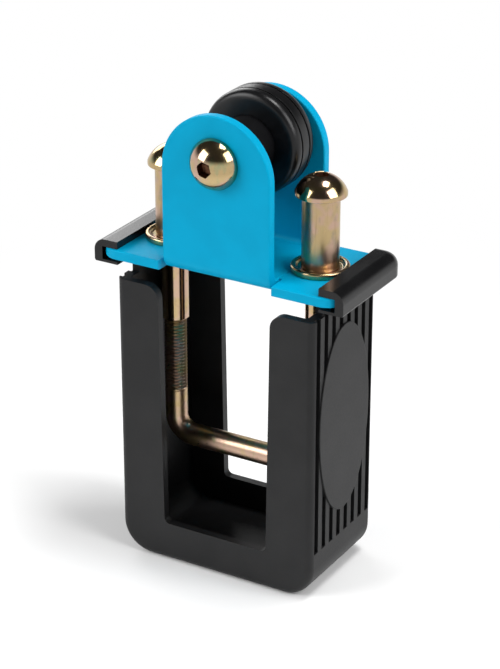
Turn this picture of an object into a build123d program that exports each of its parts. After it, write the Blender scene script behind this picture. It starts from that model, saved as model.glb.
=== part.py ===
from build123d import *
import os

# Clamp-on roller bracket, standing on the flat bottom of its U-shaped jacket.
# Millimetres. X runs across the two arms, Y along the roller's axle (the front
# is -Y), Z is up. The origin is the centre of the jacket's flat bottom.

# ---- driving dimensions -------------------------------------------------

# folded sheet bracket
sheet_thickness = 3.5
plate_underside_z = 110.0
plate_half_length = 46.0
plate_half_depth = 21.0
plate_corner_radius = 7.0
ear_half_width = 20.6
ear_outer_y = 20.0
ear_apex_height = 57.8
fold_inner_radius = 2.0
relief_width = 1.2
relief_start_y = 13.5
sheet_edge_round = 0.6

# roller and its bearings
axle_height = 41.7
roller_radius = 18.3
roller_width = 13.2
roller_shoulder = 3.2
roller_groove_width = 0.8
roller_groove_depth = 0.8
roller_groove_spread = 2.4
roller_middle_y = 8.1
core_radius = 10.0
bush_radius = 6.5
bush_length = 9.0
bush_flange_radius = 8.5
bush_flange_thickness = 1.0
thrust_washer_thickness = 0.8
thrust_washer_radius = 8.5

# domed heads and sleeves, alike on the axle and on both clamp nuts
head_radius = 8.8
head_rim_height = 1.2
head_height = 7.4
socket_flats = 5.0
socket_depth = 3.0
sleeve_radius = 5.0
thread_radius = 4.0
axle_screw_length = 19.0
axle_sleeve_inset = 0.6
blind_end = 1.5

# clamp: U-bolt, nuts, spacer tubes and washers
leg_x = 28.5
crossbar_drop = 70.6
bend_radius = 7.0
leg_top_drop = 14.0
nut_sleeve_drop = 26.0
washer_radius = 10.0
washer_thickness = 2.2
washer_dish_radius = 8.2
washer_dish_depth = 1.0
washer_edge_round = 0.8
spacer_radius = 6.35
spacer_length = 25.4

# U-shaped jacket
jacket_half_width = 38.2
jacket_half_depth = 21.8
window_half_width = 21.8
window_foot_half_width = 20.4
window_bottom_z = 14.4
window_corner_radius = 2.0
jacket_corner_radius = 11.0
web_thickness = 4.0
flange_thickness = 3.0
flange_gap = 6.0
flange_corner_radius = 5.0
jacket_edge_round = 2.5
foot_thickness = 1.0
foot_reach = 45.5
tongue_half_width = 13.5
tongue_setback = 0.9
rib_count = 8
rib_pitch = 5.2
rib_groove_width = 2.6
rib_groove_depth = 1.2
rib_bottom_z = 17.0
panel_half_length = 34.8
panel_half_width = 17.3
panel_height = 0.5
panel_edge_round = 0.3
panel_drop = 48.5

# end caps
cap_inner_x = 38.8
cap_wall = 1.9
cap_roof = 2.6
cap_floor = 1.0
cap_front_y = -20.0
cap_end_wall = 1.8
cap_top_round = 4.2
cap_lower_round = 0.8
cap_corner_radius = 6.0
slot_corner_radius = 4.0

# fits and clearances
running_clearance = 0.05
thread_clearance = 0.05
hole_clearance = 0.3
side_clearance = 0.2
slot_clearance = 0.1

# ---- sizes that follow --------------------------------------------------

plate_top_z = plate_underside_z + sheet_thickness
axle_z = plate_underside_z + axle_height
ear_inner_y = ear_outer_y - sheet_thickness
ear_arc_z = plate_underside_z + ear_apex_height - ear_half_width
bush_end_y = ear_inner_y - thrust_washer_thickness - side_clearance
core_half_width = bush_end_y - bush_flange_thickness
crossbar_z = plate_underside_z - crossbar_drop
leg_top_z = plate_underside_z - leg_top_drop
sleeve_bottom_z = plate_underside_z - nut_sleeve_drop
washer_seat_z = plate_top_z + washer_thickness - washer_dish_depth
nut_seat_z = washer_seat_z + spacer_length
flange_top_z = plate_underside_z - flange_gap
web_inner_x = jacket_half_width - web_thickness
tongue_x = jacket_half_width - tongue_setback
panel_root_x = jacket_half_width - 2 * rib_groove_depth
panel_z = plate_underside_z - panel_drop
slot_bottom_z = plate_underside_z - foot_thickness - slot_clearance
slot_top_z = plate_top_z + slot_clearance
slot_outer_x = plate_half_length + slot_clearance
slot_rear_y = plate_half_depth + slot_clearance
cap_outer_x = slot_outer_x + cap_wall
cap_rear_y = slot_rear_y + cap_end_wall
head_rise = head_height - head_rim_height
head_dome_radius = (head_radius**2 + head_rise**2) / (2 * head_rise)

base_up = (Align.CENTER, Align.CENTER, Align.MIN)
names = []


def keep(builder, name):
    """Label a finished piece and write its STEP file."""
    builder.part.label = name
    export_step(builder.part, f"parts/{name}.step")
    names.append(name)
    print(f"{name:20s} {builder.part.volume / 1000:7.2f} cm3")


os.makedirs("parts", exist_ok=True)

# ---- shared shape: domed head with a hexagon socket ---------------------

with BuildPart() as domed_head:
    with BuildSketch(Plane.XZ):
        with Locations((0, head_height - head_dome_radius)):
            Circle(head_dome_radius)
        with Locations((head_radius / 2, head_height / 2)):
            Rectangle(head_radius, head_height, mode=Mode.INTERSECT)
    revolve(axis=Axis.Z)
    with BuildSketch(Plane.XY.offset(head_height)):
        RegularPolygon(socket_flats / 2, 6, major_radius=False)
    extrude(amount=-socket_depth, mode=Mode.SUBTRACT)

# ---- folded bracket -----------------------------------------------------

with BuildPart() as bracket:
    # base and ears are one strip folded twice
    with BuildSketch(Plane.YZ) as outside:
        with Locations((0, plate_underside_z)):
            Rectangle(2 * ear_outer_y, ear_apex_height, align=(Align.CENTER, Align.MIN))
        fillet(outside.vertices().group_by(Axis.Y)[0], fold_inner_radius + sheet_thickness)
    extrude(amount=ear_half_width, both=True)
    with BuildSketch(Plane.YZ) as inside:
        with Locations((0, plate_top_z)):
            Rectangle(2 * ear_inner_y, ear_apex_height, align=(Align.CENTER, Align.MIN))
        fillet(inside.vertices().group_by(Axis.Y)[0], fold_inner_radius)
    extrude(amount=ear_half_width, both=True, mode=Mode.SUBTRACT)
    # round tops of the ears
    with BuildSketch(Plane.XZ):
        with Locations((0, plate_underside_z)):
            Rectangle(
                2 * ear_half_width,
                ear_arc_z - plate_underside_z,
                align=(Align.CENTER, Align.MIN),
            )
        with Locations((0, ear_arc_z)):
            Circle(ear_half_width)
    extrude(amount=2 * ear_outer_y, both=True, mode=Mode.INTERSECT)
    ear_rims = bracket.edges().filter_by(
        lambda e: abs(e.center().Y) > ear_inner_y - 0.01 and e.center().Z > plate_top_z + 4
    )
    fillet(ear_rims, sheet_edge_round)
    # plate ends beyond the ears, with a relief notch beside each fold
    for side in (-1, 1):
        with BuildSketch(Plane.XY.offset(plate_underside_z)) as plate_end:
            with Locations((side * (plate_half_length + ear_half_width) / 2, 0)):
                Rectangle(plate_half_length - ear_half_width, 2 * plate_half_depth)
            outer = plate_end.vertices().group_by(Axis.X)[-1 if side > 0 else 0]
            fillet(outer, plate_corner_radius)
            for end in (-1, 1):
                notch_y = end * (plate_half_depth + relief_start_y) / 2
                with Locations((side * (ear_half_width + relief_width / 2), notch_y)):
                    Rectangle(relief_width, plate_half_depth - relief_start_y, mode=Mode.SUBTRACT)
        extrude(amount=sheet_thickness)
    plate_rims = bracket.edges().filter_by(
        lambda e: e.center().Z < plate_top_z + 0.01
        and abs(e.tangent_at(0.5).Z) < 0.01
        and abs(e.center().X) > ear_half_width + relief_width + 0.5
    )
    fillet(plate_rims, sheet_edge_round)
    # axle holes through the ears, sleeve holes through the plate
    with BuildSketch(Plane.XZ):
        with Locations((0, axle_z)):
            Circle(sleeve_radius + hole_clearance)
    extrude(amount=2 * ear_outer_y, both=True, mode=Mode.SUBTRACT)
    with Locations((-leg_x, 0, plate_top_z), (leg_x, 0, plate_top_z)):
        Hole(sleeve_radius + hole_clearance, depth=2 * sheet_thickness)
keep(bracket, "bracket")

# ---- roller -------------------------------------------------------------

with BuildPart() as roller_tyre:
    with BuildSketch(Plane.YZ) as tread:
        with Locations((roller_middle_y, axle_z + core_radius)):
            Rectangle(
                roller_width,
                roller_radius - core_radius,
                align=(Align.CENTER, Align.MIN),
            )
        fillet(tread.vertices().group_by(Axis.Y)[-1], roller_shoulder)
        with Locations(
            (roller_middle_y - roller_groove_spread, axle_z + roller_radius),
            (roller_middle_y + roller_groove_spread, axle_z + roller_radius),
        ):
            Rectangle(roller_groove_width, 2 * roller_groove_depth, mode=Mode.SUBTRACT)
    revolve(axis=Axis((0, 0, axle_z), (0, 1, 0)))
keep(roller_tyre, "roller_tyre")

with BuildPart() as roller_core:
    with BuildSketch(Plane.XZ):
        with Locations((0, axle_z)):
            Circle(core_radius)
            Circle(bush_radius, mode=Mode.SUBTRACT)
    extrude(amount=core_half_width, both=True)
keep(roller_core, "roller_core")

for name, side in (("bush_front", -1), ("bush_rear", 1)):
    with BuildPart() as bush:
        with BuildSketch(Plane((0, side * bush_end_y, axle_z), z_dir=(0, -side, 0))):
            Circle(bush_radius)
        extrude(amount=bush_flange_thickness + bush_length)
        with BuildSketch(Plane((0, side * bush_end_y, axle_z), z_dir=(0, -side, 0))):
            Circle(bush_flange_radius)
        extrude(amount=bush_flange_thickness)
        with BuildSketch(Plane((0, side * bush_end_y, axle_z), z_dir=(0, -side, 0))):
            Circle(sleeve_radius + running_clearance)
        extrude(amount=bush_flange_thickness + bush_length, mode=Mode.SUBTRACT)
    keep(bush, name)

for name, side in (("thrust_washer_front", -1), ("thrust_washer_rear", 1)):
    with BuildPart() as thrust_washer:
        with BuildSketch(Plane((0, side * ear_inner_y, axle_z), z_dir=(0, -side, 0))):
            Circle(thrust_washer_radius)
            Circle(sleeve_radius + hole_clearance, mode=Mode.SUBTRACT)
        extrude(amount=thrust_washer_thickness)
    keep(thrust_washer, name)

# ---- axle: a headed sleeve from the front, a headed screw from the rear --

front_seat = Plane((0, -ear_outer_y, axle_z), x_dir=(1, 0, 0), z_dir=(0, -1, 0))
rear_seat = Plane((0, ear_outer_y, axle_z), x_dir=(-1, 0, 0), z_dir=(0, 1, 0))
sleeve_end = Plane((0, ear_outer_y - axle_sleeve_inset, axle_z), z_dir=(0, -1, 0))

with BuildPart() as axle_sleeve:
    with Locations(front_seat):
        add(domed_head.part)
    with BuildSketch(sleeve_end):
        Circle(sleeve_radius)
    extrude(amount=2 * ear_outer_y - axle_sleeve_inset)
    with BuildSketch(sleeve_end):
        Circle(thread_radius + thread_clearance)
    extrude(amount=2 * ear_outer_y - axle_sleeve_inset - blind_end, mode=Mode.SUBTRACT)
keep(axle_sleeve, "axle_sleeve")

with BuildPart() as axle_screw:
    with Locations(rear_seat):
        add(domed_head.part)
    with BuildSketch(rear_seat):
        Circle(thread_radius)
    extrude(amount=-axle_screw_length)
keep(axle_screw, "axle_screw")

# ---- clamp --------------------------------------------------------------

with BuildPart() as u_bolt:
    with BuildLine(Plane.XZ) as route:
        Polyline(
            (-leg_x, leg_top_z),
            (-leg_x, crossbar_z),
            (leg_x, crossbar_z),
            (leg_x, leg_top_z),
        )
        fillet(route.vertices().group_by(Axis.Z)[0], bend_radius)
    with BuildSketch(Plane((-leg_x, 0, leg_top_z), z_dir=(0, 0, -1))):
        Circle(thread_radius)
    sweep(path=route.wires()[0])
keep(u_bolt, "u_bolt")

for word, side in (("left", -1), ("right", 1)):
    x = side * leg_x

    with BuildPart() as washer:
        with Locations((x, 0, plate_top_z)):
            Cylinder(washer_radius, washer_thickness, align=base_up)
        fillet(washer.edges().group_by(Axis.Z)[-1], washer_edge_round)
        with Locations((x, 0, washer_seat_z)):
            Cylinder(washer_dish_radius, washer_thickness, align=base_up, mode=Mode.SUBTRACT)
        with Locations((x, 0, washer_seat_z)):
            Hole(sleeve_radius + hole_clearance, depth=2 * washer_thickness)
    keep(washer, f"washer_{word}")

    with BuildPart() as spacer:
        with BuildSketch(Plane.XY.offset(washer_seat_z)):
            with Locations((x, 0)):
                Circle(spacer_radius)
                Circle(sleeve_radius + running_clearance, mode=Mode.SUBTRACT)
        extrude(amount=spacer_length)
    keep(spacer, f"spacer_{word}")

    with BuildPart() as sleeve_nut:
        with Locations((x, 0, nut_seat_z)):
            add(domed_head.part)
        barrel_length = nut_seat_z - sleeve_bottom_z
        with Locations((x, 0, sleeve_bottom_z)):
            Cylinder(sleeve_radius, barrel_length, align=base_up)
            Cylinder(
                thread_radius + thread_clearance,
                barrel_length - blind_end,
                align=base_up,
                mode=Mode.SUBTRACT,
            )
    keep(sleeve_nut, f"sleeve_nut_{word}")

# ---- jacket -------------------------------------------------------------

with BuildPart() as oval_panel:
    with BuildSketch(Plane.YZ.offset(panel_root_x)):
        with Locations((0, panel_z)):
            Ellipse(panel_half_width, panel_half_length)
    extrude(amount=jacket_half_width + panel_height - panel_root_x)
    fillet(oval_panel.edges().group_by(Axis.X)[-1], panel_edge_round)

with BuildPart() as u_jacket:
    # outline of the U, full depth, with soft outer edges
    with BuildSketch(Plane.XZ) as outline:
        Rectangle(2 * jacket_half_width, plate_underside_z, align=(Align.CENTER, Align.MIN))
        fillet(outline.vertices().group_by(Axis.Y)[0], jacket_corner_radius)
    extrude(amount=jacket_half_depth, both=True)
    long_edges = u_jacket.edges().filter_by(
        lambda e: abs(e.center().Y) > jacket_half_depth - 0.01
        and e.center().Z < plate_underside_z - 1
    )
    fillet(long_edges, jacket_edge_round)
    # window for the clamped beam, a little narrower at its foot
    with BuildSketch(Plane.XZ) as window:
        Polygon(
            (-window_foot_half_width, window_bottom_z),
            (window_foot_half_width, window_bottom_z),
            (window_half_width, flange_top_z),
            (-window_half_width, flange_top_z),
            align=None,
        )
        fillet(window.vertices().group_by(Axis.Y)[0], window_corner_radius)
    extrude(amount=2 * jacket_half_depth, both=True, mode=Mode.SUBTRACT)
    # inside of the channel section
    with BuildSketch(Plane.XZ) as hollow:
        with Locations((0, web_thickness)):
            Rectangle(2 * web_inner_x, plate_underside_z, align=(Align.CENTER, Align.MIN))
        fillet(hollow.vertices().group_by(Axis.Y)[0], jacket_corner_radius - web_thickness)
    extrude(amount=jacket_half_depth - flange_thickness, both=True, mode=Mode.SUBTRACT)
    # flanges and ribs stop short of the plate, and only a tongue goes on
    with Locations((0, 0, flange_top_z)):
        Box(2 * web_inner_x, 3 * jacket_half_depth, 2 * flange_gap, align=base_up, mode=Mode.SUBTRACT)
    for side in (-1, 1):
        with Locations((0, side * (tongue_half_width + jacket_half_depth), flange_top_z)):
            Box(
                3 * jacket_half_width,
                2 * jacket_half_depth,
                2 * flange_gap,
                align=base_up,
                mode=Mode.SUBTRACT,
            )
        with Locations((side * (tongue_x + jacket_half_depth), 0, flange_top_z)):
            Box(
                2 * jacket_half_depth,
                3 * jacket_half_depth,
                2 * flange_gap,
                align=base_up,
                mode=Mode.SUBTRACT,
            )
    flange_corners = u_jacket.edges().filter_by(
        lambda e: abs(e.center().Z - flange_top_z) < 0.01
        and abs(abs(e.center().X) - window_half_width) < 0.01
    )
    fillet(flange_corners, flange_corner_radius)
    # ribs down each arm
    for index in range(rib_count):
        groove_y = (index - (rib_count - 1) / 2) * rib_pitch
        for side in (-1, 1):
            with Locations((side * jacket_half_width, groove_y, rib_bottom_z)):
                Box(
                    2 * rib_groove_depth,
                    rib_groove_width,
                    plate_underside_z - rib_bottom_z,
                    align=base_up,
                    mode=Mode.SUBTRACT,
                )
    # bare oval panel over the ribs, and the foot that the end cap clips over
    for side in (-1, 1):
        with Locations(Location((0, 0, 0), (0, 0, 90 - 90 * side))):
            add(oval_panel.part)
        with Locations((side * (web_inner_x + foot_reach) / 2, 0, plate_underside_z)):
            Box(
                foot_reach - web_inner_x,
                2 * tongue_half_width,
                foot_thickness,
                align=(Align.CENTER, Align.CENTER, Align.MAX),
            )
keep(u_jacket, "u_jacket")

# ---- end caps -----------------------------------------------------------

for word, side in (("left", -1), ("right", 1)):
    outermost = -1 if side > 0 else 0
    with BuildPart() as end_cap:
        with BuildSketch(Plane.XY.offset(slot_bottom_z - cap_floor)) as plan:
            with Locations((side * (cap_inner_x + cap_outer_x) / 2, cap_front_y)):
                Rectangle(
                    cap_outer_x - cap_inner_x,
                    cap_rear_y - cap_front_y,
                    align=(Align.CENTER, Align.MIN),
                )
            fillet(
                plan.vertices().group_by(Axis.Y)[-1].sort_by(Axis.X)[outermost],
                cap_corner_radius,
            )
        extrude(amount=slot_top_z - slot_bottom_z + cap_floor + cap_roof)
        outer_edges = end_cap.edges().filter_by(
            lambda e: abs(e.tangent_at(0.5).Z) < 0.01
            and abs(e.center().X) > cap_inner_x + 1
            and e.center().Y > cap_front_y + 1
        )
        fillet(outer_edges.group_by(Axis.Z)[-1], cap_top_round)
        fillet(outer_edges.group_by(Axis.Z)[0], cap_lower_round)
        # slot for the plate's end and the jacket's foot
        with BuildSketch(Plane.XY.offset(slot_bottom_z)) as slot:
            with Locations((side * slot_outer_x / 2, 0)):
                Rectangle(slot_outer_x, 2 * slot_rear_y)
            fillet(slot.vertices().group_by(Axis.X)[outermost], slot_corner_radius)
        extrude(amount=slot_top_z - slot_bottom_z, mode=Mode.SUBTRACT)
    keep(end_cap, f"end_cap_{word}")

print(len(names), "pieces")
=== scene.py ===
# %% [markdown]
# # Clamp-on roller bracket
# A folded blue sheet bracket carries a black roller between its ears. A plated
# U-bolt hangs below it inside a black U-shaped jacket, and two domed sleeve nuts
# draw it up against whatever beam lies in the window. The measured frame comes
# first, because every piece here has to sit where the frame says.

# %% Load the frame
import math
import bpy
import numpy as np
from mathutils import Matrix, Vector


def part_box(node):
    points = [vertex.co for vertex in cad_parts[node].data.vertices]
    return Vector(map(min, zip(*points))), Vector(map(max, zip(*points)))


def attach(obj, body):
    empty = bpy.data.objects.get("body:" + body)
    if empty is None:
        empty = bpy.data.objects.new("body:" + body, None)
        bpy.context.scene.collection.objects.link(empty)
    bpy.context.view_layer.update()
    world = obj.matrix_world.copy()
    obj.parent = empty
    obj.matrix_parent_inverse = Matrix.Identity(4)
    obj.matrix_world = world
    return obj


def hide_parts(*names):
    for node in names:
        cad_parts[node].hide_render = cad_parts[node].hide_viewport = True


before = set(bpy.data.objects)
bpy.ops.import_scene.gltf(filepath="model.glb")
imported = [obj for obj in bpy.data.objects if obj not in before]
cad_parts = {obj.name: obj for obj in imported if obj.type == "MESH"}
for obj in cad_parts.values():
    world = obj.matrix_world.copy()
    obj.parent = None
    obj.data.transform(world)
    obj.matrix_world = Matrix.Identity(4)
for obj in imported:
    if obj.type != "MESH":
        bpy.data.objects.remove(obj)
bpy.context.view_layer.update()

MM = 0.001


# %% [markdown]
# ## The camera and the studio
# The camera looks from the right of the front and from a little above, through a
# long lens, so the upright edges stay nearly parallel. It is made first, because
# everything after it is judged through it. Two large soft lamps stand left and
# right. The left one lights the faces of the ears, and the right one the ribbed
# arm. A smaller one overhead lights the plate, and one behind on the left keeps
# the back from going dark. Nothing shines from the front, so the space between the
# ears stays deep, and the domes mirror the lamps with dark bands between them.

# %% Camera
view_from = Vector((0.369, -0.6254, 0.4151))
view_to = Vector((0.0015, 0.0, 0.0835))
camera = bpy.data.objects.new("camera", bpy.data.cameras.new("camera"))
camera.data.lens = 168
camera.data.sensor_width = 36
camera.data.sensor_fit = "HORIZONTAL"
camera.location = view_from
camera.rotation_euler = (view_to - view_from).to_track_quat("-Z", "Y").to_euler()
bpy.context.scene.collection.objects.link(camera)
bpy.context.scene.camera = camera
bpy.context.scene.view_settings.view_transform = "Standard"
print("camera is", round((view_to - view_from).length, 3), "m away")


# %% Lamps
def soft_lamp(name, place, aim, width, height, watts):
    """A rectangular lamp at place that faces aim."""
    data = bpy.data.lights.new(name, "AREA")
    data.shape = "RECTANGLE"
    data.size = width
    data.size_y = height
    data.energy = watts
    lamp = bpy.data.objects.new(name, data)
    lamp.location = place
    lamp.rotation_euler = (Vector(aim) - Vector(place)).to_track_quat("-Z", "Y").to_euler()
    bpy.context.scene.collection.objects.link(lamp)
    return lamp


middle = (0, 0, 0.12)
soft_lamp("left_lamp", (-0.80, -0.85, 0.78), middle, 0.75, 0.75, 11.3)
soft_lamp("right_lamp", (1.00, -0.05, 0.80), middle, 0.75, 0.75, 9.5)
soft_lamp("rear_lamp", (-0.95, 0.75, 0.60), middle, 0.8, 0.6, 5)
soft_lamp("top_lamp", (0.30, 0.15, 1.25), middle, 0.45, 0.35, 7.5)


# %% [markdown]
# ## Shader maths that reads like arithmetic
# A material is a web of nodes. Wrapping a socket in a small class with the usual
# operators lets a finish be written as an expression, and each operator adds one
# Math node. Any other node comes from one method, which sets the node up first
# and then fills or links its sockets.

# %% The socket wrapper
class Shade:
    """One value travelling through a material's nodes."""

    def __init__(self, finish, socket):
        self.finish = finish
        self.socket = socket

    def _math(self, operation, first, second):
        return self.finish.node("ShaderNodeMath", {"operation": operation}, {0: first, 1: second})

    def __add__(self, other):
        return self._math("ADD", self, other)

    def __radd__(self, other):
        return self._math("ADD", other, self)

    def __sub__(self, other):
        return self._math("SUBTRACT", self, other)

    def __rsub__(self, other):
        return self._math("SUBTRACT", other, self)

    def __mul__(self, other):
        return self._math("MULTIPLY", self, other)

    def __rmul__(self, other):
        return self._math("MULTIPLY", other, self)

    def above(self, low, high):
        """0 below low, 1 above high and a smooth step between them."""
        inputs = {"Value": self, "From Min": low, "From Max": high}
        return self.finish.node("ShaderNodeMapRange", {"interpolation_type": "SMOOTHSTEP"}, inputs)


class Web:
    """The nodes of a material or of the world."""

    def __init__(self, owner):
        owner.use_nodes = True
        self.tree = owner.node_tree

    def fill(self, socket, value):
        """Link a Shade to a socket, or write a constant into it."""
        if isinstance(value, Shade):
            self.tree.links.new(value.socket, socket)
        else:
            socket.default_value = value

    def node(self, kind, settings, inputs, output=0):
        """Any node: its settings are set first, then its sockets."""
        made = self.tree.nodes.new(kind)
        for name, value in settings.items():
            setattr(made, name, value)
        for key, value in inputs.items():
            self.fill(made.inputs[key], value)
        return Shade(self, made.outputs[output])

    def seen(self):
        """1 on rays from the camera, a mirror or glass, and 0 on rays that light things."""
        path = self.node("ShaderNodeLightPath", {}, {}, "Is Camera Ray")
        outputs = path.socket.node.outputs
        mirror = Shade(self, outputs["Is Glossy Ray"])
        glass = Shade(self, outputs["Is Transmission Ray"])
        return path + mirror + glass


class Finish(Web):
    """A material under construction, with its Principled shader."""

    def __init__(self, name):
        self.material = bpy.data.materials.new(name)
        super().__init__(self.material)
        self.shader = self.tree.nodes["Principled BSDF"]
        self.coordinates = self.node("ShaderNodeTexCoord", {}, {}, "Object")

    def shrunk(self, stretch):
        """Object coordinates multiplied along each axis."""
        return self.node("ShaderNodeMapping", {}, {"Vector": self.coordinates, "Scale": stretch})

    def grain(self, size, detail=2.0, stretch=(1, 1, 1)):
        """Cloudy noise whose lumps are about size metres across."""
        inputs = {"Vector": self.shrunk(stretch), "Scale": 1 / size, "Detail": detail}
        return self.node("ShaderNodeTexNoise", {}, inputs)

    def blend(self, mask, first, second):
        """The first colour where mask is 0 and the second where it is 1."""
        return self.node("ShaderNodeMix", {"data_type": "RGBA"}, {0: mask, 6: first, 7: second}, 2)

    def bump(self, height, depth, strength=1.0):
        """Normals of a relief that is depth metres deep."""
        inputs = {"Height": height, "Distance": depth, "Strength": strength}
        return self.node("ShaderNodeBump", {}, inputs)

    def set(self, **sockets):
        """Fill the Principled shader's sockets, named with underscores."""
        for name, value in sockets.items():
            self.fill(self.shader.inputs[name.replace("_", " ")], value)
        return self.material


def rgb(red, green, blue):
    """A colour with full alpha."""
    return (red, green, blue, 1.0)


# %% [markdown]
# ## Blue powder paint
# The bracket is painted a clear blue. Powder paint flows as it cures and leaves a
# faint orange peel, a low relief about 1.5 mm across, and its colour shifts very
# slightly with the film's thickness. Noise on Object coordinates gives both.

# %% Blue paint
paint = Finish("blue_powder_paint")
film = paint.grain(0.012, 3.0)
peel = paint.grain(0.0016, 1.0)
speck = paint.grain(0.0004, 2.0)
blue_paint = paint.set(
    Base_Color=paint.blend(film.above(0.3, 0.7), rgb(0.0, 0.325, 0.550), rgb(0.0, 0.350, 0.590)),
    Roughness=0.36 + 0.12 * speck,
    Specular_IOR_Level=0.06,
    Normal=paint.bump(peel + 0.25 * speck, 0.00005, 0.6),
)
print("finish", blue_paint.name)


# %% [markdown]
# ## Yellow zinc plate
# The bolts, nuts, tubes and washers are plated with zinc and passivated yellow.
# The passivation is a very thin film, so its colour drifts between gold, pink and
# green over a few millimetres. Turned parts also carry fine drawn lines.

# %% Yellow zinc
def yellow_zinc(name, drawn, line_depth, low_rough, high_rough, green=0.36):
    """Zinc finish whose fine lines run along the axis that drawn shrinks. Green is the
    green of the third tint, and the closer to 0.3 it is the less that tint shows."""
    zinc = Finish(name)
    drift = zinc.grain(0.007, 2.0)
    second = zinc.grain(0.004, 3.0, (1, 1, 0.6))
    lines = zinc.grain(0.0005, 2.0, drawn)
    gold_pink = zinc.blend(drift.above(0.42, 0.62), rgb(0.50, 0.37, 0.19), rgb(0.53, 0.36, 0.27))
    colour = zinc.blend(second.above(0.54, 0.74), gold_pink, rgb(0.36, green, 0.20))
    return zinc.set(
        Base_Color=zinc.blend(lines.above(0.55, 0.95), colour, rgb(0.32, 0.21, 0.11)),
        Metallic=1.0,
        Roughness=low_rough + (high_rough - low_rough) * lines,
        Normal=zinc.bump(lines, line_depth, 0.5),
    )


zinc_heads = yellow_zinc("yellow_zinc_bright", (0.4, 0.4, 0.4), 0.000004, 0.07, 0.20)
zinc_tubes = yellow_zinc("yellow_zinc_drawn", (1, 1, 0.04), 0.00001, 0.22, 0.40, 0.29)
zinc_rod = yellow_zinc("yellow_zinc_rod", (0.3, 0.3, 0.3), 0.000004, 0.24, 0.38)
zinc_washers = yellow_zinc("yellow_zinc_washers", (0.4, 0.4, 0.4), 0.000004, 0.16, 0.34, 0.40)

# Inside the hexagon sockets the zinc is painted dark brown. This is painted shade for the dark
# recess, mottled by noise that also varies the roughness and the bump.
sockets = Finish("zinc_sockets_painted_shade")
socket_shade_mottle = sockets.grain(0.0012, 3.0)
zinc_sockets = sockets.set(
    Base_Color=sockets.blend(socket_shade_mottle.above(0.4, 0.7), rgb(0.19, 0.09, 0.05), rgb(0.06, 0.035, 0.025)),
    Metallic=1.0,
    Roughness=0.25 + 0.25 * socket_shade_mottle,
    Normal=sockets.bump(socket_shade_mottle, 0.00002, 0.5),
)
for finish in (zinc_heads, zinc_tubes, zinc_rod, zinc_washers, zinc_sockets):
    print("finish", finish.name)


# %% [markdown]
# ## Black plastics and rubber
# The jacket is a matt moulding with a fine spark-eroded grain. The end caps are
# smoother and glossier, and the roller is turned and polished, with faint rings
# round its tread.

# %% Jacket, cap and roller finishes
jacket = Finish("jacket_moulding")
pores = jacket.grain(0.0005, 3.0)
clouds = jacket.grain(0.015, 3.0)
jacket_black = jacket.set(
    Base_Color=jacket.blend(
        clouds.above(0.3, 0.75), rgb(0.005, 0.005, 0.0055), rgb(0.009, 0.009, 0.0095)
    ),
    Roughness=0.40 + 0.16 * pores,
    Specular_IOR_Level=0.32,
    Normal=jacket.bump(pores, 0.00004, 0.5),
)

cap = Finish("cap_moulding")
flow = cap.grain(0.006, 2.0, (1, 0.3, 1))
cap_black = cap.set(
    Base_Color=cap.blend(
        flow.above(0.3, 0.7), rgb(0.004, 0.004, 0.0045), rgb(0.007, 0.007, 0.0075)
    ),
    Roughness=0.17 + 0.10 * flow,
    Specular_IOR_Level=0.34,
    Normal=cap.bump(flow, 0.00005, 0.4),
)

roller = Finish("roller_gloss")
rings = roller.grain(0.0006, 2.0, (0.02, 1, 0.02))
scuffs = roller.grain(0.004, 4.0)
roller_black = roller.set(
    Base_Color=roller.blend(
        scuffs.above(0.45, 0.8), rgb(0.003, 0.003, 0.0035), rgb(0.007, 0.007, 0.008)
    ),
    Roughness=0.24 + 0.14 * rings,
    Specular_IOR_Level=0.36,
    Normal=roller.bump(rings, 0.00002, 0.5),
)

nylon = Finish("nylon_core")
flecks = nylon.grain(0.001, 3.0)
nylon_black = nylon.set(
    Base_Color=nylon.blend(flecks, rgb(0.002, 0.002, 0.0025), rgb(0.005, 0.005, 0.006)),
    Roughness=0.45 + 0.1 * flecks,
    Specular_IOR_Level=0.12,
    Normal=nylon.bump(flecks, 0.00003, 0.4),
)

bronze = Finish("sintered_bronze")
sinter = bronze.grain(0.0004, 4.0)
bush_bronze = bronze.set(
    Base_Color=bronze.blend(sinter.above(0.4, 0.7), rgb(0.55, 0.33, 0.14), rgb(0.28, 0.16, 0.07)),
    Metallic=0.9,
    Roughness=0.35 + 0.2 * sinter,
    Normal=bronze.bump(sinter, 0.00003, 0.5),
)
for finish in (jacket_black, cap_black, roller_black, nylon_black, bush_bronze):
    print("finish", finish.name)


# %% [markdown]
# ## Surfaces from rings
# Every new piece is a stack of rings. A ring is a row of points, and quads join
# each ring to the next. A stack that runs in a loop closes on itself, like a
# washer. One that doesn't gets a fan of triangles at both ends. The sign of its
# volume shows whether the faces point outwards, and they are turned if not.

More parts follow.
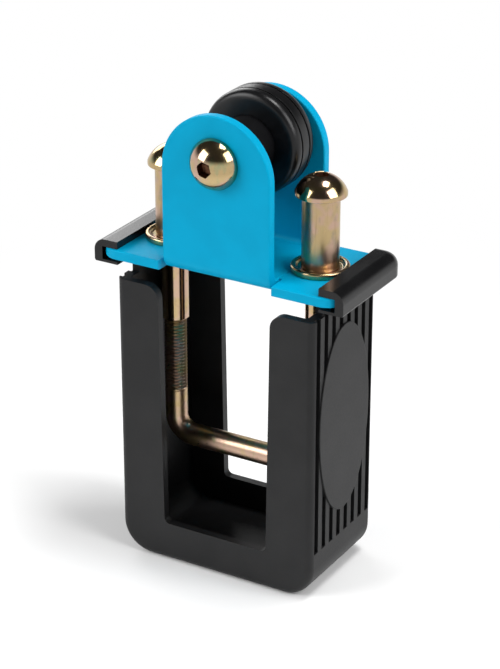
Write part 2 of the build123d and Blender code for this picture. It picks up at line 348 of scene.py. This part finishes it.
# %% Rings to mesh
def skin(name, ring_stack, looped=False):
    """Quads join point j of ring i to point j of ring i + 1. Both ends of a stack that
    isn't looped get a centre point and a fan."""
    count, around = ring_stack.shape[:2]
    index = np.arange(count * around).reshape(count, around)
    here = index if looped else index[:-1]
    there = np.roll(index, -1, axis=0) if looped else index[1:]
    quads = np.stack([here, np.roll(here, -1, 1), np.roll(there, -1, 1), there], axis=-1)
    quads = quads.reshape(-1, 4)
    points = ring_stack.reshape(-1, 3)
    fans = np.empty((0, 3), int)
    if not looped:
        centres = ring_stack[[0, -1]].mean(axis=1)
        points = np.vstack([points, centres])
        first = np.full(around, count * around)
        start_fan = np.stack([np.roll(index[0], -1), index[0], first], axis=-1)
        end_fan = np.stack([index[-1], np.roll(index[-1], -1), first + 1], axis=-1)
        fans = np.vstack([start_fan, end_fan])
    triangles = np.vstack([quads[:, [0, 1, 2]], quads[:, [0, 2, 3]], fans])
    corners = points[triangles]
    volume = np.einsum("ij,ij->", corners[:, 0], np.cross(corners[:, 1], corners[:, 2])) / 6
    if volume < 0:
        quads = quads[:, ::-1]
        fans = fans[:, ::-1]
    mesh = bpy.data.meshes.new(name)
    mesh.from_pydata(points.tolist(), [], quads.tolist() + fans.tolist())
    mesh.polygons.foreach_set("use_smooth", np.ones(len(mesh.polygons), bool))
    mesh.set_sharp_from_angle(angle=math.radians(35))
    piece = bpy.data.objects.new(name, mesh)
    bpy.context.scene.collection.objects.link(piece)
    print(f"{name}: {len(mesh.polygons)} faces, {abs(volume) / MM**3 / 1000:.2f} cm3")
    return piece


def soften(corners, radius, steps=5, looped=False):
    """Each corner of a profile becomes a curve that leaves one side and meets the next
    at radius from the corner, as a Bezier of second order does."""
    corners = np.asarray(corners, float)
    before = np.roll(corners, 1, axis=0) - corners
    after = np.roll(corners, -1, axis=0) - corners
    reach = np.broadcast_to(np.asarray(radius, float), len(corners))[:, None]
    start = corners + before / np.linalg.norm(before, axis=1, keepdims=True) * reach
    end = corners + after / np.linalg.norm(after, axis=1, keepdims=True) * reach
    t = np.linspace(0, 1, steps)[None, :, None]
    curves = (
        start[:, None] * (1 - t) ** 2
        + corners[:, None] * 2 * t * (1 - t)
        + end[:, None] * t**2
    )
    if looped:
        return curves.reshape(-1, 2)
    return np.vstack([corners[:1], curves[1:-1].reshape(-1, 2), corners[-1:]])


def spin_rings(radii, heights, origin, axis, around=96):
    """A point at radius r and height h along the axis goes to origin + h times the axis
    + r times a unit vector at its angle. Radii and heights have a row for each ring."""
    axis = np.array(Vector(axis).normalized())
    side = np.array(Vector(axis).orthogonal().normalized())
    other = np.cross(axis, side)
    angle = np.linspace(0, 2 * np.pi, around, endpoint=False)
    outward = np.cos(angle)[:, None] * side + np.sin(angle)[:, None] * other
    radii = np.broadcast_to(radii, (len(radii), around))
    heights = np.broadcast_to(heights, (len(heights), around))
    return np.array(origin) + MM * (heights[..., None] * axis + radii[..., None] * outward)


def turned(name, profile, origin, axis, around=96):
    """A closed profile of (radius, height) in millimetres, turned round the axis."""
    radii, heights = profile.T[:, :, None]
    return skin(name, spin_rings(radii, heights, origin, axis, around), looped=True)


def dress(piece, finishes, body, slot, *nodes):
    """Give a piece its finishes and the body it rides on, and hide the nodes it stands for. The
    slot is not used.
    """
    for finish in finishes:
        piece.data.materials.append(finish)
    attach(piece, body)
    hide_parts(*nodes)
    return piece


# %% [markdown]
# ## Domed heads and their sleeves
# The clamp nuts and the axle are alike: a low dome with a hexagon socket on a
# smooth barrel. A plain turned shape can't hold a hexagon, so the dome's rings
# change from a circle at the rim to a hexagon at the socket, each point staying
# on the sphere. The socket's walls and its floor follow the same hexagon.

# %% Headed barrels
HEAD_RADIUS = 8.8
HEAD_RIM = 1.2
HEAD_HEIGHT = 7.4
SOCKET_HALF = 2.5
SOCKET_DEPTH = 3.0
BARREL_RADIUS = 5.0
SHANK_RADIUS = 4.0
BORE_RADIUS = 4.05
BLIND_END = 1.5
CORNER_REACH = 0.25
RISE = HEAD_HEIGHT - HEAD_RIM
DOME_RADIUS = (HEAD_RADIUS**2 + RISE**2) / (2 * RISE)


def dome_height(radius):
    """Height of the sphere of the dome over a point at this radius."""
    return HEAD_HEIGHT - DOME_RADIUS + np.sqrt(DOME_RADIUS**2 - radius**2)


def headed(name, origin, axis, barrel_radius, barrel_length, hollow, around=96):
    """From the barrel's foot up to the seat at height 0, out under the head, over the dome
    and down into the hexagon socket. The hexagon's radius is its half width over the
    cosine of the angle from the middle of each flat."""
    angle = np.linspace(0, 2 * np.pi, around, endpoint=False)
    hexagon = SOCKET_HALF / np.cos(angle % (np.pi / 3) - np.pi / 6)
    if hollow:
        foot = [(0.2, -BLIND_END), (BORE_RADIUS, -BLIND_END), (BORE_RADIUS, -barrel_length)]
    else:
        foot = [(0.2, -barrel_length)]
    corners = foot + [(barrel_radius, -barrel_length), (barrel_radius, 0), (HEAD_RADIUS, 0)]
    corners.append((HEAD_RADIUS, HEAD_RIM))
    outline = soften(corners, CORNER_REACH, 4)[:-1]
    plain_r = np.repeat(outline[:, :1], around, axis=1)
    plain_h = np.repeat(outline[:, 1:], around, axis=1)
    share = np.linspace(1, 0, 24)[:, None] ** 0.9
    dome_r = hexagon + (HEAD_RADIUS - hexagon) * share
    dome_h = dome_height(dome_r)
    dome_h[0] = HEAD_RIM
    # each pair is a share of the hexagon's radius and a depth below the socket's edge
    wall = np.array([
        [0.95, 0.18],
        [0.93, 0.45],
        [0.93, SOCKET_DEPTH - 0.4],
        [0.85, SOCKET_DEPTH],
        [0.1, SOCKET_DEPTH + 0.3],
    ])
    wall_r = hexagon * wall[:, :1]
    wall_h = np.repeat(dome_height(SOCKET_HALF) - wall[:, 1:], around, axis=1)
    radii = np.vstack([plain_r, dome_r, wall_r])
    heights = np.vstack([plain_h, dome_h, wall_h])
    piece = skin(name, spin_rings(radii, heights, origin, axis, around))
    # The socket's walls and floor take the second finish, a dark zinc that is painted shade for the
    # recess.
    row = np.arange(len(piece.data.polygons)) // around
    socket_faces = row >= len(plain_r) + len(dome_r)
    socket_faces[(len(radii) - 1) * around : len(radii) * around] = False
    piece.data.polygons.foreach_set("material_index", socket_faces.astype(np.int32))
    return piece


def seat_of(node, axis_index, head_side):
    """Middle of a headed node's seat, found from its box: the head is at its high or low end."""
    low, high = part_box(node)
    seat = (low + high) / 2
    end = high if head_side > 0 else low
    seat[axis_index] = end[axis_index] - head_side * dome_height(SOCKET_HALF) * MM
    return seat


for word in ("left", "right"):
    low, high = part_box(f"sleeve_nut_{word}")
    seat = seat_of(f"sleeve_nut_{word}", 2, 1)
    nut = headed(f"domed_nut_{word}", seat, (0, 0, 1), BARREL_RADIUS, (seat.z - low.z) / MM, True)
    dress(nut, [zinc_heads, zinc_sockets], f"nut_{word}", "yellow_zinc", f"sleeve_nut_{word}")

low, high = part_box("axle_sleeve")
seat = seat_of("axle_sleeve", 1, -1)
sleeve = headed("axle_barrel", seat, (0, -1, 0), BARREL_RADIUS, (high.y - seat.y) / MM, True)
dress(sleeve, [zinc_heads, zinc_sockets], "frame", "yellow_zinc", "axle_sleeve")

low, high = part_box("axle_screw")
seat = seat_of("axle_screw", 1, 1)
screw = headed("axle_end_screw", seat, (0, 1, 0), SHANK_RADIUS, (seat.y - low.y) / MM, False)
dress(screw, [zinc_heads, zinc_sockets], "frame", "yellow_zinc", "axle_screw")


# %% [markdown]
# ## Washers and spacer tubes
# Each nut's head sits on a plain tube, and the tube on a dished washer with a
# raised, rounded rim. Both are a closed outline turned round the nut's axis, and
# softened corners give the bright line that a real edge shows.

# %% Washers and tubes
WASHER_HOLE = 5.3
TUBE_HOLE = 5.05
DISH_DEPTH = 1.0
RIM_TOP = 1.8
RIM_FOOT = 2.3

for word in ("left", "right"):
    low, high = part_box(f"washer_{word}")
    base = ((low.x + high.x) / 2, 0, low.z)
    thick = (high.z - low.z) / MM
    radius = (high.x - low.x) / 2 / MM
    corners = [
        (WASHER_HOLE, 0),
        (radius, 0),
        (radius, thick),
        (radius - RIM_TOP, thick),
        (radius - RIM_FOOT, thick - DISH_DEPTH),
        (WASHER_HOLE, thick - DISH_DEPTH),
    ]
    outline = soften(corners, [0.1, 0.5, 0.85, 0.8, 0.45, 0.15], 7, looped=True)
    washer = turned(f"cup_washer_{word}", outline, base, (0, 0, 1))
    dress(washer, [zinc_washers], "frame", "yellow_zinc", f"washer_{word}")

    low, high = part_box(f"spacer_{word}")
    base = ((low.x + high.x) / 2, 0, low.z)
    tall = (high.z - low.z) / MM
    radius = (high.x - low.x) / 2 / MM
    corners = [(TUBE_HOLE, 0), (radius, 0), (radius, tall), (TUBE_HOLE, tall)]
    outline = soften(corners, 0.3, 4, looped=True)
    tube = turned(f"spacer_tube_{word}", outline, base, (0, 0, 1))
    dress(tube, [zinc_tubes], "frame", "yellow_zinc", f"spacer_{word}")


# %% [markdown]
# ## The U-bolt with its threads
# The U-bolt is a rod bent twice, threaded on both legs. A cylinder carried along
# a path has one free number at each point, its radius, and a screw thread is a
# radius that rises and falls once a pitch and one turn later has moved up by one
# pitch, 1.25 mm. So the whole rod is one grid, with more rings where the thread is.

# %% U-bolt
PITCH = 1.25
THREAD_DEPTH = 0.6
THREAD_FOOT = 40.0
THREAD_FADE = 1.5
END_CHAMFER = 0.9
BEND = 7.0


def rod_path(run, leg, cross, bend):
    """Down the first leg, round a quarter circle, along the crossbar, round a quarter
    circle and up, for each distance run. Gives x, z and the heading's angle."""
    arc = bend * math.pi / 2
    first = np.clip(run - leg, 0, arc) / bend
    along = np.clip(run - leg - arc, 0, cross)
    second = np.clip(run - leg - arc - cross, 0, arc) / bend
    up = np.clip(run - leg - 2 * arc - cross, 0, leg)
    x = bend * (1 - np.cos(first)) + along + bend * np.sin(second)
    z = -np.clip(run, 0, leg) - bend * np.sin(first) + bend * (1 - np.cos(second)) + up
    return x, z, first + second - math.pi / 2


low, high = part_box("u_bolt")
rod_radius = (high.y - low.y) / 2 / MM
half = (high.x - low.x) / 2 / MM - rod_radius
depth = (high.z - low.z) / MM - rod_radius
leg = depth - BEND
cross = 2 * (half - BEND)
total = 2 * leg + cross + math.pi * BEND
threaded = np.arange(0, THREAD_FOOT + 1, PITCH / 8)
plain = np.linspace(THREAD_FOOT + 1.2, total - THREAD_FOOT - 1.2, 120)
run = np.concatenate([threaded, plain, total - threaded[::-1]])
x, z, heading = rod_path(run, leg, cross, BEND)
around = 36
angle = np.linspace(0, 2 * np.pi, around, endpoint=False)
from_end = np.minimum(run, total - run)[:, None]
turn = np.where(run[:, None] < total / 2, angle, -angle) / (2 * np.pi)
wave = np.abs(((from_end / PITCH + turn) % 1) * 2 - 1)
fade = np.clip((THREAD_FOOT - from_end) / THREAD_FADE, 0, 1)
chamfer = np.clip(END_CHAMFER - from_end, 0, END_CHAMFER)
radius = rod_radius - THREAD_DEPTH * fade * (1 - wave) - chamfer
normal = np.stack([-np.sin(heading), np.zeros_like(heading), np.cos(heading)], axis=-1)
across = np.array([0.0, 1.0, 0.0])
centre = np.stack([x - half, np.zeros_like(x), z], axis=-1)
spokes = np.cos(angle)[None, :, None] * normal[:, None] + np.sin(angle)[None, :, None] * across
rod_rings = MM * (centre[:, None] + radius[..., None] * spokes) + np.array([0, 0, high.z])
u_rod = skin("threaded_u_rod", rod_rings)
dress(u_rod, [zinc_rod], "clamp", "yellow_zinc", "u_bolt")


# %% [markdown]
# ## The roller
# The roller's tread has rounded shoulders and two fine grooves. One closed
# outline, turned round the axle, gives them all.

# %% Roller
GROOVE_SPREAD = 2.4
GROOVE_DEPTH = 0.8
GROOVE_HALF = 0.4
SHOULDER = 3.2
CORE_RADIUS = 10.0

low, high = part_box("roller_tyre")
axle = (low + high) / 2
tread = (high.z - low.z) / 2 / MM
wide = (high.y - low.y) / 2 / MM
outline = [(CORE_RADIUS, -wide), (tread, -wide)]
softness = [0.2, SHOULDER]
for groove_y in (-GROOVE_SPREAD, GROOVE_SPREAD):
    for side_y, depth in ((-1, 0), (-1, GROOVE_DEPTH), (1, GROOVE_DEPTH), (1, 0)):
        outline.append((tread - depth, groove_y + side_y * GROOVE_HALF))
    softness += [0.15, 0.12, 0.12, 0.15]
outline += [(tread, wide), (CORE_RADIUS, wide)]
softness += [SHOULDER, 0.2]
roller_outline = soften(outline, softness, 9, looped=True)
tyre = turned("grooved_roller", roller_outline, axle, (0, 1, 0), 160)
dress(tyre, [roller_black], "roller", "roller_black", "roller_tyre")


# %% [markdown]
# ## The pieces that keep their frame meshes
# The bracket, jacket and caps already have the right shape, with their rounded
# edges, so they only take a finish.

# %% Finishes for the frame's own pieces
for node, material in (
    ("bracket", blue_paint),
    ("u_jacket", jacket_black),
    ("end_cap_left", cap_black),
    ("end_cap_right", cap_black),
    ("roller_core", nylon_black),
    ("thrust_washer_front", nylon_black),
    ("thrust_washer_rear", nylon_black),
    ("bush_front", bush_bronze),
    ("bush_rear", bush_bronze),
):
    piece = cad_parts[node]
    piece.data.materials.clear()
    piece.data.materials.append(material)
    print(node, len(piece.data.polygons), "triangles")


# %% [markdown]
# ## Floor and world
# The floor is a wide pale sheet. Close to the object it is lit like everything
# else, so it keeps the object's shadow, and further out it turns into plain white,
# which also stays white in a mirror. The white is only for rays that are looked
# along, so it puts no light on the object. The world is white at the horizon and
# dark overhead, as in a studio with white walls and a dark ceiling.

# %% Floor
floor_finish = Finish("pale_floor")
paper = floor_finish.grain(0.05, 2.0)
floor_white = floor_finish.set(
    Base_Color=floor_finish.blend(paper, rgb(0.92, 0.92, 0.92), rgb(0.94, 0.94, 0.94)),
    Roughness=0.9,
    Specular_IOR_Level=0.1,
)
away = floor_finish.node(
    "ShaderNodeVectorMath", {"operation": "LENGTH"}, {0: floor_finish.coordinates}, "Value"
)
plain_white = floor_finish.node("ShaderNodeEmission", {}, {"Color": rgb(1, 1, 1), "Strength": 1.0})
lit_paper = Shade(floor_finish, floor_finish.shader.outputs[0])
share_white = away.above(0.07, 0.30) * floor_finish.seen()
floor_shader = floor_finish.node(
    "ShaderNodeMixShader", {}, {0: share_white, 1: lit_paper, 2: plain_white}
)
floor_finish.fill(floor_finish.tree.nodes["Material Output"].inputs["Surface"], floor_shader)

REACH = 6.0
FLOOR_Z = -0.0002
floor_mesh = bpy.data.meshes.new("floor")
corners = [(-REACH, -REACH), (REACH, -REACH), (REACH, REACH), (-REACH, REACH)]
floor_mesh.from_pydata([(x, y, FLOOR_Z) for x, y in corners], [], [(0, 1, 2, 3)])
floor_mesh.materials.append(floor_white)
floor = bpy.data.objects.new("floor", floor_mesh)
bpy.context.scene.collection.objects.link(floor)

# %% World
world = bpy.data.worlds.new("studio")
bpy.context.scene.world = world
studio = Web(world)
direction = studio.node("ShaderNodeTexCoord", {}, {}, "Generated")
height = studio.node("ShaderNodeSeparateXYZ", {}, {0: direction}, "Z")
ceiling = height.above(0.03, 0.40)
seen = studio.seen()
mirrored = 1.0 - 0.96 * ceiling
lighting = 0.28 - 0.06 * ceiling
background = studio.tree.nodes["Background"]
studio.fill(background.inputs["Strength"], mirrored * seen + lighting * (1.0 - seen))
background.inputs["Color"].default_value = rgb(1, 1, 1)
